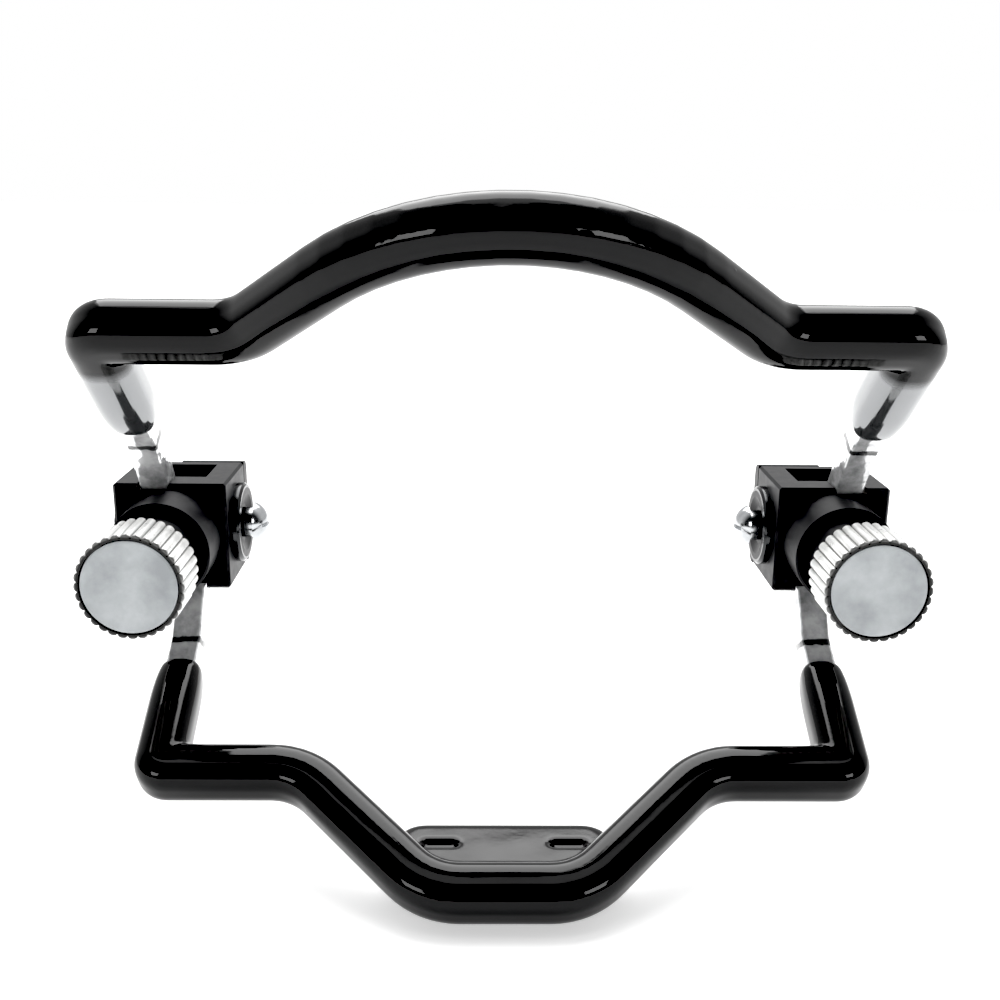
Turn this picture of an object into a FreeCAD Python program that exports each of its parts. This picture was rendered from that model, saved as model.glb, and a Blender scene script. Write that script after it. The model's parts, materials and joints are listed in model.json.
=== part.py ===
import FreeCAD
import Part
import math
import os

# Adjustable cheek retractor. Two dip-coated bows, an upper arch and a lower dip, sit on arms that
# turn about one cross axis through two side housings. A knurled knob on each housing turns a
# pinion, and the pinion drives a crown gear on each arm, so the bows open and close together.
#
# Frame: +X to the object's left-hand knob as seen from behind (right as seen from the front),
# -Y to the front, where the knobs are, +Z up. The origin is on the hinge axis, midway between
# the housings. Millimetres. The model stands with the bows at their closed stop.

V = FreeCAD.Vector
X_AXIS, Y_AXIS, Z_AXIS = V(1, 0, 0), V(0, 1, 0), V(0, 0, 1)
ORIGIN = V(0, 0, 0)

# ---- clearances --------------------------------------------------------------------------------
running = 0.05            # radial gap of every shaft in its bore
side_play = 0.10          # axial gap beside a turning piece
slot_gap = 0.35           # gap round an arm where it passes through a housing wall

# ---- housings ----------------------------------------------------------------------------------
housing_spacing = 95.1    # centre to centre, along the hinge axis
housing_width = 16.0
housing_depth = 15.4
housing_height = 15.7
housing_edge = 0.35
side_wall = 1.6
front_wall = 1.2
top_wall = 1.2
cover_thickness = 2.0
cover_round = 1.5         # of the cover's rear edges at the top and bottom
cover_lip = 1.0           # how far the cover reaches into the housing
cover_lip_wall = 1.2
cover_step = 0.9          # depth of the step in the cover's edge behind an arm
cover_step_inset = 1.2    # from the inboard edge of the arm behind it
window_inboard = 4.4      # the arm window in the top wall, from the housing's centre
window_margin = 0.45      # beside the gap round the outboard arm
cover_screw_radius = 0.45
cover_screw_head = 0.75
cover_screw_length = 5.0
cover_screw_inset = 2.3   # from the top and bottom of the housing
screw_slot_depth = 0.3
screw_slot_width = 0.2

# ---- bars and arms -----------------------------------------------------------------------------
bar_width = 4.1           # along the hinge axis
bar_thickness = 4.2
bar_corner = 0.55
arm_gap = 0.2             # between the upper and the lower arm
rest_lean = 34.0          # of the arms at the housing, forward from the vertical, at the closed stop
arm_swing = 44.0          # travel of each arm from the closed stop
hub_radius = 3.3
elbow_distance = 18.5     # from the hinge axis to the bend of an arm
elbow_radius = 4.0
splice_distance = 10.0    # from the elbow to the butt joint of arm and bow, inside the coating
dowel_radius = 0.9
dowel_length = 6.0
spigot_radius = 2.7
spigot_flat = 2.1         # half the distance across the spigot's two flats

# ---- bows --------------------------------------------------------------------------------------
upper_leg_lean = 46.8
upper_leg = 24.5          # elbow to bow
upper_knee_x = 32.2       # where shoulder and slope would meet
upper_knee_radius = 8.0
arch_slope = 44.0         # degrees
arch_radius = 30.5
lower_leg_lean = 61.0
lower_leg = 21.5
lower_knee_x = 26.6
lower_knee_radius = 10.0
dip_depth = 16.9
dip_half_width = 9.5
dip_radius = 9.5
bow_corner_room = 0.3     # inside radius of the coated bend between leg and shoulder

# ---- coating -----------------------------------------------------------------------------------
upper_coat = 1.55
lower_coat = 1.3
upper_coat_corner = 2.8
lower_coat_corner = 2.5
coat_start = 4.5          # from the elbow
nose_length = 7.0         # stretch over which the coating swells to its full thickness
nose_steps = 5
nose_edge = 0.3           # share of the full thickness at the coating's lip

# ---- bite plates -------------------------------------------------------------------------------
plate_thickness = 1.4
plate_reach = 11.8        # back from the middle of the bow
plate_skin = 0.8
plate_overlap = 1.0       # the plate starts this far behind the middle of the bow
plate_corner = 3.0
lower_plate_width = 26.4
upper_plate_width = 21.0
lower_plate_rise = 0.8    # of the plate's middle above or below the middle of its bow
upper_plate_rise = 1.0
dimple_length = 5.4
dimple_width = 2.0
dimple_offset = 8.3
dimple_depth = 0.45
dimple_setback = 7.6      # behind the middle of the bow
dimple_round = 0.35       # the coating's pocket is wider than the plate's slot by this

# ---- axle --------------------------------------------------------------------------------------
axle_radius = 1.6
disc_radius = 5.2
disc_thickness = 1.25
disc_dish = 0.5
disc_land = 0.9           # flat ring outside the dish
dish_floor = 0.6          # flat ring round the collar
rim_width = 0.7
rim_edge = 0.35
collar_radius = 2.25
collar_length = 1.3
dome_radius = 3.0
dome_height = 2.0
drive_slot_width = 0.6
drive_slot_depth = 0.7
nut_across = 5.5
nut_height = 1.7
nut_edge = 0.35
thrust_thickness = 0.3
thrust_radius = 3.4

# ---- knob drive --------------------------------------------------------------------------------
boss_radius = 7.05
boss_length = 7.65
boss_wall = 1.6
boss_floor = 1.0
boss_edge = 0.3
bush_radius = 5.5
bush_length = 5.6
bush_spigot = 2.6
bush_edge = 0.3
spindle_radius = 1.5
spindle_tip_radius = 0.8
spindle_collar_radius = 3.2
spindle_collar_length = 1.0
clip_radius = 2.6
clip_thickness = 0.4
brake_count = 3
brake_thickness = 0.35
brake_rise = 0.35
brake_outer = 4.6
knob_gap = 0.45           # bush to knob
knob_radius = 7.03        # over the crests
knob_length = 7.85
knob_flutes = 32
flute_radius = 0.42
flute_rise = 0.105        # the flute's centre over the crests
knob_face_edge = 0.3      # bevel between the flutes and the face
face_radius = 6.35
face_thickness = 0.7
face_dish = 0.2
face_land = 0.5
grub_radius = 0.8
grub_length = 3.4

# ---- gears -------------------------------------------------------------------------------------
pinion_teeth = 8
crown_teeth = 24
pinion_length = 1.6
pinion_lead = 0.1         # the pinion starts this far inside the crown teeth
addendum = 0.45
dedendum = 0.6
tooth_share = 0.35        # tooth thickness at the pitch line, as a share of the pitch
flank_angle = 20.0
tooth_root = 0.2          # how deep a tooth is rooted in its blank
gear_gap = 0.2            # between the crown gear's rim and the housing's nearest wall
crown_face = 1.45         # length of a crown tooth
crown_lead = 24.0         # toothed sector past the pinion at the closed stop, degrees

# ---- worked out --------------------------------------------------------------------------------
housing_x = housing_spacing / 2
half_width = housing_width / 2
half_depth = housing_depth / 2
half_height = housing_height / 2
arm_offset = (arm_gap + bar_width) / 2
upper_arm_x = housing_x + arm_offset
lower_arm_x = housing_x - arm_offset
inner_wall = half_width - side_wall
hub_face = arm_gap / 2 + bar_width
window_outboard = hub_face + slot_gap + window_margin
crown_plate = inner_wall - side_play / 2 - thrust_thickness - hub_face
crown_outer = min(half_depth - front_wall, half_height - top_wall) - gear_gap
crown_inner = crown_outer - crown_face
pinion_setback = crown_inner - pinion_lead
bow_corner_radius = bar_width / 2 + max(upper_coat, lower_coat) + bow_corner_room
bore_radius = axle_radius + running
pinion_mid = pinion_setback + pinion_length / 2
pinion_pitch_radius = pinion_mid * pinion_teeth / crown_teeth
gear_pitch = 2 * math.pi * pinion_mid / crown_teeth
boss_front = half_depth + boss_length
bush_front = boss_front + bush_length
knob_back = bush_front + knob_gap
knob_front = knob_back + knob_length
disc_face = half_width + disc_thickness
collar_face = disc_face + collar_length
dome_top = collar_face + dome_height
past = 1.0                # how far a cutting shape runs past the piece

nodes = {}


# ---- basic shapes ------------------------------------------------------------------------------
def unit(vector):
    """The vector at length one."""
    result = V(vector)
    return result.normalize()


def forward_up(lean):
    """Direction in the Y-Z plane that leans forward from the vertical by lean degrees."""
    angle = math.radians(lean)
    return V(0, -math.sin(angle), math.cos(angle))


def box(low, high):
    """A box between two opposite corners."""
    return Part.makeBox(high.x - low.x, high.y - low.y, high.z - low.z, low)


def rod(radius, start, end):
    """A round bar between two points."""
    return Part.makeCylinder(radius, (end - start).Length, start, unit(end - start))


def ring(outer, inner, start, end):
    """A tube between two points."""
    overrun = unit(end - start) * past
    return rod(outer, start, end).cut(rod(inner, start - overrun, end + overrun))


def across(u, y=0.0, z=0.0):
    """A point at distance u outboard of the centre of the +X housing."""
    return V(housing_x + u, y, z)


def ahead(distance, u=0.0, z=0.0):
    """A point that far in front of the hinge axis, on the knob's axis."""
    return V(housing_x + u, -distance, z)


def turned(profile, start, axis):
    """A solid of revolution from (radius, distance along the axis) points."""
    side = V(0, 0, 1) if abs(axis.z) < 0.5 else V(1, 0, 0)
    points = [start + axis * along + side * radius for radius, along in profile]
    face = Part.Face(Part.makePolygon(points + points[:1]))
    solid = face.revolve(start, axis, 360)
    return solid if solid.Volume > 0 else solid.reversed()


def rounded_section(centre, side, up, width, height, radius):
    """A closed rectangular wire with rounded corners."""
    half_w, half_h = width / 2, height / 2
    edges = []
    corners = [(1, 1), (-1, 1), (-1, -1), (1, -1)]
    for index, (a, b) in enumerate(corners):
        middle = centre + side * (a * (half_w - radius)) + up * (b * (half_h - radius))
        first, second = (side * a, up * b) if a * b > 0 else (up * b, side * a)
        bulge = unit(first + second) * radius
        start, end = middle + first * radius, middle + second * radius
        edges.append(Part.Arc(start, middle + bulge, end).toShape())
        a_next, b_next = corners[(index + 1) % 4]
        middle_next = centre + side * (a_next * (half_w - radius)) + up * (b_next * (half_h - radius))
        first_next = side * a_next if a_next * b_next > 0 else up * b_next
        edges.append(Part.LineSegment(end, middle_next + first_next * radius).toShape())
    return Part.Wire(edges)


def joined(solids):
    """One solid out of pieces that share faces."""
    return solids[0].multiFuse(solids[1:]).removeSplitter()


def main_solid(shape):
    """The largest solid of a shape."""
    return max(shape.Solids, key=lambda solid: solid.Volume)


def swept_bar(points, radii, flat, width, height, corner):
    """A rounded bar along straight runs joined by tangent arcs.

    flat is the normal of the plane that the path lies in; width is in that plane, height is
    along flat; radii gives the bend at each point between the first and the last.
    """
    solids = []
    start = points[0]
    for index in range(1, len(points)):
        here = points[index]
        along = unit(here - points[index - 1])
        last = index == len(points) - 1
        if last:
            end = here
        else:
            onward = unit(points[index + 1] - here)
            turn = along.getAngle(onward)
            end = here - along * (radii[index - 1] * math.tan(turn / 2))
        section = rounded_section(start, along.cross(flat), flat, width, height, corner)
        solids.append(Part.Face(section).extrude(end - start))
        if not last:
            inward = unit(onward - along * along.dot(onward))
            centre = end + inward * radii[index - 1]
            axis = along.cross(inward)
            section = rounded_section(end, along.cross(flat), flat, width, height, corner)
            solids.append(Part.Face(section).revolve(centre, axis, math.degrees(turn)))
            start = here + onward * (radii[index - 1] * math.tan(turn / 2))
    return joined([s if s.Volume > 0 else s.reversed() for s in solids])


def left_hand(shape):
    """The mirror image on the other side of the object."""
    return shape.mirror(ORIGIN, X_AXIS)


def upside_down(shape):
    """The mirror image below the hinge axis."""
    return shape.mirror(ORIGIN, Z_AXIS)


def add_pair(name, shape):
    """The +X piece and its mirror image, as right_NAME and left_NAME."""
    nodes["right_" + name] = shape
    nodes["left_" + name] = left_hand(shape)


# ---- housing and what is fixed to it -----------------------------------------------------------
def arm_sweep(u_low, u_high, lean_low, lean_high, reach):
    """The room that an arm needs between two leans, from the hinge axis out to reach."""
    half = bar_thickness / 2 + slot_gap
    steps = 8
    solids = []
    for step in range(steps + 1):
        lean = lean_low + (lean_high - lean_low) * step / steps
        slab = box(V(u_low, -half, 0), V(u_high, half, reach))
        slab.rotate(ORIGIN, X_AXIS, lean)
        slab.translate(V(housing_x, 0, 0))
        solids.append(slab)
    return joined(solids)


def cover_screw_places():
    """Centres of the cover's four screws, in the housing's side walls."""
    u = half_width - side_wall / 2
    z = half_height - cover_screw_inset
    return [(a * u, b * z) for a in (-1, 1) for b in (-1, 1)]


def make_housing():
    """The machined block: open at the back, with a window for each arm at the top and bottom."""
    block = box(across(-half_width, -half_depth, -half_height),
                across(half_width, half_depth - cover_thickness, half_height))
    block = block.makeChamfer(housing_edge, block.Edges)
    cavity = box(across(-inner_wall, -half_depth + front_wall, -half_height + top_wall),
                 across(inner_wall, half_depth, half_height - top_wall))
    rear = half_height * math.tan(math.radians(arm_swing - rest_lean))
    rear += (bar_thickness / 2) / math.cos(math.radians(arm_swing - rest_lean)) + slot_gap
    near = half_height * math.tan(math.radians(rest_lean)) - bar_thickness / 2 + slot_gap
    window = box(across(-window_inboard, -near, 0),
                 across(window_outboard, rear, half_height + past))
    arm_low = arm_gap / 2 - slot_gap / 2
    arm_high = hub_face + slot_gap
    room = arm_sweep(arm_low, arm_high, rest_lean - arm_swing, rest_lean, 3 * half_height)
    opposite = box(across(-window_outboard, -near, -half_height - past),
                   across(window_inboard, rear, 0))
    opposite_room = upside_down(arm_sweep(-arm_high, -arm_low, rest_lean - arm_swing, rest_lean,
                                          3 * half_height))
    block = block.cut([cavity, window, room, opposite, opposite_room])
    block = block.cut(rod(spindle_radius + running, ahead(0), ahead(half_depth + past)))
    block = block.cut(rod(bore_radius, across(-half_width - past), across(half_width + past)))
    for u, z in cover_screw_places():
        back = half_depth - cover_thickness
        block = block.cut(rod(cover_screw_radius, across(u, back - cover_screw_length, z),
                              across(u, back + past, z)))
    return main_solid(block)


def make_rear_cover():
    """The lid on the back, stepped behind each arm, with a lip inside the housing."""
    back = half_depth - cover_thickness
    plate = box(across(-half_width, back, -half_height), across(half_width, half_depth, half_height))
    ends = [e for e in plate.Edges if e.CenterOfMass.y > half_depth - side_play
            and abs(e.CenterOfMass.z) > half_height - side_play]
    plate = plate.makeFillet(cover_round, ends)
    lip_u, lip_z = inner_wall - running, half_height - top_wall - running
    lip = box(across(-lip_u, back - cover_lip, -lip_z), across(lip_u, back, lip_z))
    hollow_u, hollow_z = lip_u - cover_lip_wall, lip_z - cover_lip_wall
    hollow = box(across(-hollow_u, back - cover_lip - past, -hollow_z),
                 across(hollow_u, back, hollow_z))
    cover = plate.fuse(lip.cut(hollow))
    step_low, step_high = arm_gap / 2 + cover_step_inset, window_outboard
    notch = box(across(step_low, back - cover_lip - past, half_height - cover_step),
                across(step_high, half_depth + past, half_height + past))
    lower_notch = box(across(-step_high, back - cover_lip - past, -half_height - past),
                      across(-step_low, half_depth + past, -half_height + cover_step))
    gear_room = rod(crown_outer + slot_gap, across(-inner_wall), across(inner_wall))
    cover = cover.cut([notch, lower_notch, gear_room])
    for u, z in cover_screw_places():
        shank = rod(cover_screw_radius, across(u, back - past, z), across(u, half_depth + past, z))
        head = Part.makeCone(cover_screw_radius, cover_screw_head, cover_screw_head,
                             across(u, half_depth - cover_screw_head, z), Y_AXIS)
        cover = cover.cut([shank, head])
    return cover.removeSplitter()


def make_cover_screws():
    """Four countersunk screws."""
    back = half_depth - cover_thickness
    screws = []
    for u, z in cover_screw_places():
        shank = rod(cover_screw_radius, across(u, back - cover_screw_length, z),
                    across(u, half_depth - cover_screw_head, z))
        head = Part.makeCone(cover_screw_radius, cover_screw_head, cover_screw_head,
                             across(u, half_depth - cover_screw_head, z), Y_AXIS)
        drive = box(across(u - cover_screw_head, half_depth - screw_slot_depth, z - screw_slot_width / 2),
                    across(u + cover_screw_head, half_depth + past, z + screw_slot_width / 2))
        screws.append(shank.fuse(head).cut(drive))
    return Part.makeCompound(screws)


def make_bearing_boss():
    """The round barrel on the front of the housing, bored for the brake washers."""
    body = rod(boss_radius, ahead(half_depth), ahead(boss_front))
    body = body.makeChamfer(boss_edge, [e for e in body.Edges if e.CenterOfMass.y < -boss_front + 0.1])
    well = rod(boss_radius - boss_wall, ahead(half_depth + boss_floor), ahead(boss_front + past))
    hole = rod(spindle_radius + running, ahead(0), ahead(boss_front))
    body = body.cut([well, hole])
    room = arm_sweep(arm_gap / 2 - slot_gap / 2, hub_face + slot_gap,
                     rest_lean - 1, rest_lean, 3 * half_height)
    opposite = upside_down(arm_sweep(-hub_face - slot_gap, slot_gap / 2 - arm_gap / 2,
                                     rest_lean - 1, rest_lean, 3 * half_height))
    return main_solid(body.cut([room, opposite]))


def make_neck_bush():
    """The plug in the mouth of the barrel, which guides the spindle and faces the knob."""
    plug_radius = boss_radius - boss_wall - running
    profile = [(spindle_radius + running, boss_front - bush_spigot), (plug_radius, boss_front - bush_spigot),
               (plug_radius, boss_front), (bush_radius, boss_front), (bush_radius, bush_front - bush_edge),
               (bush_radius - bush_edge, bush_front), (spindle_radius + running, bush_front)]
    return turned(profile, ahead(0), -Y_AXIS)


def make_brake_washers():
    """Dished spring washers between the spindle's collar and the bush."""
    inner = spindle_radius + running
    first = half_depth + boss_floor + spindle_collar_length + side_play
    washers = []
    for index in range(brake_count):
        base = first + index * (brake_thickness + 2 * running)
        profile = [(inner, base), (brake_outer, base + brake_rise),
                   (brake_outer, base + brake_rise + brake_thickness), (inner, base + brake_thickness)]
        washers.append(turned(profile, ahead(0), -Y_AXIS))
    return Part.makeCompound(washers)


def make_axle():
    """The domed bolt on the hinge axis."""
    shank = rod(axle_radius, across(-collar_face), across(half_width + nut_height))
    sphere_radius = (dome_radius ** 2 + dome_height ** 2) / (2 * dome_height)
    ball = Part.makeSphere(sphere_radius, across(-dome_top + sphere_radius))
    head = ball.common(rod(dome_radius, across(-collar_face), across(-dome_top - past)))
    drive = box(across(-dome_top - past, -dome_radius, -drive_slot_width / 2),
                across(-dome_top + drive_slot_depth, dome_radius, drive_slot_width / 2))
    return shank.fuse(head).cut(drive).removeSplitter()


def make_axle_nut():
    """The hexagon nut on the outboard end of the axle."""
    corner = nut_across / 2 / math.cos(math.radians(30))
    points = [across(half_width, corner * math.cos(math.radians(60 * k)),
                     corner * math.sin(math.radians(60 * k))) for k in range(7)]
    body = Part.Face(Part.makePolygon(points)).extrude(V(nut_height, 0, 0))
    crown = Part.makeCone(corner - nut_edge + nut_height, corner - nut_edge, nut_height,
                          across(half_width), X_AXIS)
    body = body.common(crown)
    return body.cut(rod(axle_radius, across(half_width - past), across(half_width + nut_height + past)))


def make_friction_disc():
    """The dished disc under the axle's collar."""
    profile = [(bore_radius, half_width), (disc_radius, half_width), (disc_radius, disc_face),
               (disc_radius - disc_land, disc_face), (collar_radius + dish_floor, disc_face - disc_dish),
               (collar_radius, disc_face - disc_dish), (collar_radius, disc_face), (bore_radius, disc_face)]
    return turned(profile, across(0), -X_AXIS)


def make_disc_rim():
    """The plated ring round the disc."""
    outer = disc_radius + rim_width
    profile = [(disc_radius, half_width), (outer, half_width), (outer, disc_face - rim_edge),
               (outer - rim_edge, disc_face), (disc_radius, disc_face)]
    return turned(profile, across(0), -X_AXIS)


def make_axle_collar():
    """The spacer between the disc and the axle's head."""
    return ring(collar_radius, axle_radius, across(-disc_face), across(-collar_face))


def make_thrust_washers():
    """Washers between each arm's spigot and the housing's side wall."""
    face = inner_wall - side_play / 2
    return Part.makeCompound([ring(thrust_radius, bore_radius, across(a * (face - thrust_thickness)),
                                   across(a * face)) for a in (-1, 1)])


def add_housing():
    """Everything that stays still on the housing."""
    add_pair("housing", make_housing())
    add_pair("rear_cover", make_rear_cover())
    add_pair("cover_screws", make_cover_screws())
    add_pair("bearing_boss", make_bearing_boss())
    add_pair("neck_bush", make_neck_bush())
    add_pair("brake_washers", make_brake_washers())
    add_pair("axle", make_axle())
    add_pair("axle_nut", make_axle_nut())
    add_pair("friction_disc", make_friction_disc())
    add_pair("disc_rim", make_disc_rim())
    add_pair("axle_collar", make_axle_collar())
    add_pair("thrust_washers", make_thrust_washers())


# ---- knob, spindle and pinion ------------------------------------------------------------------
def make_spindle():
    """The stepped shaft from the pinion to the knob."""
    collar = half_depth + boss_floor
    profile = [(0, pinion_setback), (spindle_tip_radius, pinion_setback),
               (spindle_tip_radius, pinion_setback + pinion_length),
               (spindle_radius, pinion_setback + pinion_length), (spindle_radius, collar + side_play / 2),
               (spindle_collar_radius, collar + side_play / 2),
               (spindle_collar_radius, collar + spindle_collar_length),
               (spindle_radius, collar + spindle_collar_length),
               (spindle_radius, knob_front - 2 * face_thickness), (0, knob_front - 2 * face_thickness)]
    return turned(profile, ahead(0), -Y_AXIS)


def make_spindle_clip():
    """The ring on the spindle just behind the knob."""
    return ring(clip_radius, spindle_radius, ahead(knob_back - clip_thickness), ahead(knob_back))


def tooth_blank(root_line, tip_line, half_root, half_tip, length):
    """A tooth that points along +X, with its length along -Y from the origin."""
    points = [V(root_line, 0, -half_root), V(tip_line, 0, -half_tip),
              V(tip_line, 0, half_tip), V(root_line, 0, half_root)]
    return Part.Face(Part.makePolygon(points + points[:1])).extrude(V(0, -length, 0))


def tooth_half(height_from_pitch):
    """Half the thickness of a tooth at that height over its pitch line."""
    return gear_pitch * tooth_share / 2 - height_from_pitch * math.tan(math.radians(flank_angle))


def make_pinion():
    """The spur pinion at the spindle's inner end. One tooth points outboard at rest."""
    root = pinion_pitch_radius - dedendum
    blank = rod(root, ahead(pinion_setback), ahead(pinion_setback + pinion_length))
    teeth = []
    for index in range(pinion_teeth):
        tooth = tooth_blank(root - tooth_root, pinion_pitch_radius + addendum, tooth_half(-dedendum),
                            tooth_half(addendum), pinion_length)
        tooth.rotate(ORIGIN, Y_AXIS, index * 360 / pinion_teeth)
        tooth.translate(ahead(pinion_setback))
        teeth.append(tooth)
    gear = blank.multiFuse(teeth)
    return gear.cut(rod(spindle_tip_radius, ahead(0), ahead(half_depth))).removeSplitter()


def make_knob():
    """The fluted knob, with a recess for its face and a radial hole for the grub screw."""
    body = rod(knob_radius, ahead(knob_back), ahead(knob_front))
    body = body.makeChamfer(knob_face_edge, [e for e in body.Edges if e.Closed and e.Curve.TypeId
                                             == "Part::GeomCircle"])
    flutes = []
    for index in range(knob_flutes):
        angle = 2 * math.pi * (index + 0.5) / knob_flutes
        at = V(math.cos(angle), 0, math.sin(angle)) * (knob_radius + flute_rise)
        flutes.append(rod(flute_radius, ahead(knob_back - past) + at,
                          ahead(knob_front - knob_face_edge) + at))
    body = body.cut(flutes)
    recess = rod(face_radius, ahead(knob_front - face_thickness), ahead(knob_front + past))
    bore = rod(spindle_radius, ahead(knob_back - past), ahead(knob_front - 2 * face_thickness))
    grub_at = (knob_back + knob_front) / 2
    grub_hole = rod(grub_radius, ahead(grub_at), ahead(grub_at, 0, -knob_radius - past))
    return body.cut([recess, bore, grub_hole])


def make_knob_face():
    """The slightly dished disc let into the knob."""
    profile = [(0, knob_front - face_thickness), (face_radius, knob_front - face_thickness),
               (face_radius, knob_front), (face_radius - face_land, knob_front), (0, knob_front - face_dish)]
    return turned(profile, ahead(0), -Y_AXIS)


def make_grub_screw():
    """The screw that holds the knob on the spindle."""
    at = (knob_back + knob_front) / 2
    body = rod(grub_radius, ahead(at, 0, -spindle_radius), ahead(at, 0, -spindle_radius - grub_length))
    drive = rod(grub_radius / 2, ahead(at, 0, -spindle_radius - grub_length / 2),
                ahead(at, 0, -spindle_radius - grub_length - past))
    return body.cut(drive)


def add_knob():
    """Everything that turns with the knob."""
    add_pair("spindle", make_spindle())
    add_pair("spindle_clip", make_spindle_clip())
    add_pair("pinion", make_pinion())
    add_pair("knob", make_knob())
    add_pair("knob_face", make_knob_face())
    add_pair("knob_grub_screw", make_grub_screw())


# ---- arms and gears ----------------------------------------------------------------------------
def elbow_point():
    """The bend of an upper arm, in the Y-Z plane."""
    return forward_up(rest_lean) * elbow_distance


def make_arm(side, leg_lean):
    """An arm of the upper frame from hub to splice; side is +1 with its gear outboard."""
    centre = V(housing_x + side * arm_offset, 0, 0)
    elbow = centre + elbow_point()
    splice = elbow + forward_up(leg_lean) * splice_distance
    bar = swept_bar([centre, elbow, splice], [elbow_radius], X_AXIS, bar_thickness, bar_width,
                    bar_corner)
    half = V(bar_width / 2, 0, 0)
    hub = rod(hub_radius, centre - half, centre + half)
    spigot_start = centre + half * side
    spigot_end = spigot_start + V(side * crown_plate, 0, 0)
    spigot = rod(spigot_radius, spigot_start, spigot_end).common(
        Part.makeBox(2 * crown_plate, 2 * spigot_radius, 2 * spigot_flat,
                     spigot_start - V(crown_plate, spigot_radius, spigot_flat)))
    arm = bar.fuse([hub, spigot])
    bore = rod(bore_radius, across(-half_width), across(half_width))
    dowel_hole = rod(dowel_radius, splice - forward_up(leg_lean) * dowel_length / 2,
                     splice + forward_up(leg_lean))
    return arm.cut([bore, dowel_hole]).removeSplitter()


def make_crown_gear(side):
    """The toothed sector on an upper arm; its teeth face the housing's middle plane."""
    plate = rod(crown_outer, across(hub_face), across(hub_face + crown_plate))
    root_u = pinion_pitch_radius + dedendum
    step = 360 / crown_teeth
    first = -math.ceil((arm_swing + crown_lead) / step)
    last = math.floor(crown_lead / step)
    top = math.radians(last * step)
    outward = V(0, -math.cos(top), math.sin(top))
    corners = [across(u) + outward * radius for u, radius in
               ((root_u, crown_inner), (root_u, crown_outer),
                (hub_face, crown_outer), (hub_face, crown_inner))]
    sector = Part.Face(Part.makePolygon(corners + corners[:1]))
    sector = sector.revolve(across(0), X_AXIS, (last - first) * step)
    if sector.Volume < 0:
        sector = sector.reversed()
    teeth = []
    for index in range(first, last):
        tooth = tooth_blank(tooth_root, -(addendum + dedendum), tooth_half(-dedendum),
                            tooth_half(addendum), crown_outer - crown_inner)
        tooth.translate(V(root_u, -crown_inner, 0))
        tooth.rotate(ORIGIN, X_AXIS, -(index + 0.5) * step)
        tooth.translate(across(0))
        teeth.append(tooth)
    gear = plate.multiFuse([sector] + teeth)
    hole = rod(spigot_radius, across(0), across(half_width)).common(
        box(across(0, -spigot_radius, -spigot_flat), across(half_width, spigot_radius, spigot_flat)))
    gear = gear.cut(hole).removeSplitter()
    if side < 0:
        gear = gear.mirror(across(0), X_AXIS)
    return gear


# ---- bows, coating and bite plates -------------------------------------------------------------
def bow_points(arm_x, leg, half_outline):
    """Corner points of a bow in its own plane: legs along +Z from the elbow at Z = 0."""
    right = [V(arm_x, 0, 0), V(arm_x, 0, leg)] + half_outline
    left = [V(-p.x, 0, p.z) for p in reversed(right) if p.x > 0]
    return right + left


def upper_outline():
    """The arch: knee, then the point where the two slopes would meet."""
    rise = upper_knee_x * math.tan(math.radians(arch_slope))
    return [V(upper_knee_x, 0, upper_leg), V(0, 0, upper_leg + rise)], [upper_knee_radius, arch_radius]


def lower_outline():
    """The dip: knee, then the corner of its flat stretch."""
    return ([V(lower_knee_x, 0, lower_leg), V(dip_half_width, 0, lower_leg + dip_depth)],
            [lower_knee_radius, dip_radius])


def bow_middle(upper):
    """Height of the bow's middle over its elbows, in the bow's plane."""
    if not upper:
        return lower_leg + dip_depth
    slope = math.radians(arch_slope)
    return upper_leg + upper_knee_x * math.tan(slope) - arch_radius * (1 / math.cos(slope) - 1)


def all_radii(half_radii, has_apex):
    """Bend radii of the whole bow from those of its +X half."""
    right = [bow_corner_radius] + half_radii
    mirrored = right[:-1] if has_apex else right
    return right + mirrored[::-1]


def trimmed(points, start):
    """The same path with both legs starting that far from the elbows."""
    return [points[0] + V(0, 0, start)] + points[1:-1] + [points[-1] + V(0, 0, start)]


def coat_nose(x, coat, coat_corner):
    """The coating's end on one leg, swelling from a thin lip to the full thickness."""
    sections = []
    for step in range(nose_steps + 1):
        share = step / nose_steps
        swell = nose_edge + (1 - nose_edge) * math.sqrt(1 - (1 - share) ** 2)
        grown = 2 * coat * swell
        corner = bar_corner + (coat_corner - bar_corner) * swell
        sections.append(rounded_section(V(x, 0, coat_start + nose_length * share), -X_AXIS, Y_AXIS,
                                        bar_width + grown, bar_thickness + grown, corner))
    return Part.makeLoft(sections, True, True)


def plate_slab(width, thickness, reach, corner, grow, top, front):
    """A flat tongue that reaches back from the bow, rounded at its two rear corners."""
    half = width / 2 + grow
    slab = box(V(-half, front, top - thickness / 2 - grow),
               V(half, front + reach + grow, top + thickness / 2 + grow))
    rear = [e for e in slab.Edges if abs(e.CenterOfMass.y - front - reach - grow) < 0.01
            and abs(abs(e.CenterOfMass.x) - half) < 0.01]
    return slab.makeFillet(corner + grow, rear)


def dimple(x, y, z, depth, grow):
    """A long rounded pocket across the plate, from z downwards by depth."""
    radius = dimple_width / 2 + grow
    half = dimple_length / 2 - dimple_width / 2
    ends = [rod(radius, V(x + a * half, y, z - depth), V(x + a * half, y, z)) for a in (-1, 1)]
    middle = box(V(x - half, y - radius, z - depth), V(x + half, y + radius, z))
    return joined(ends + [middle])


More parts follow.
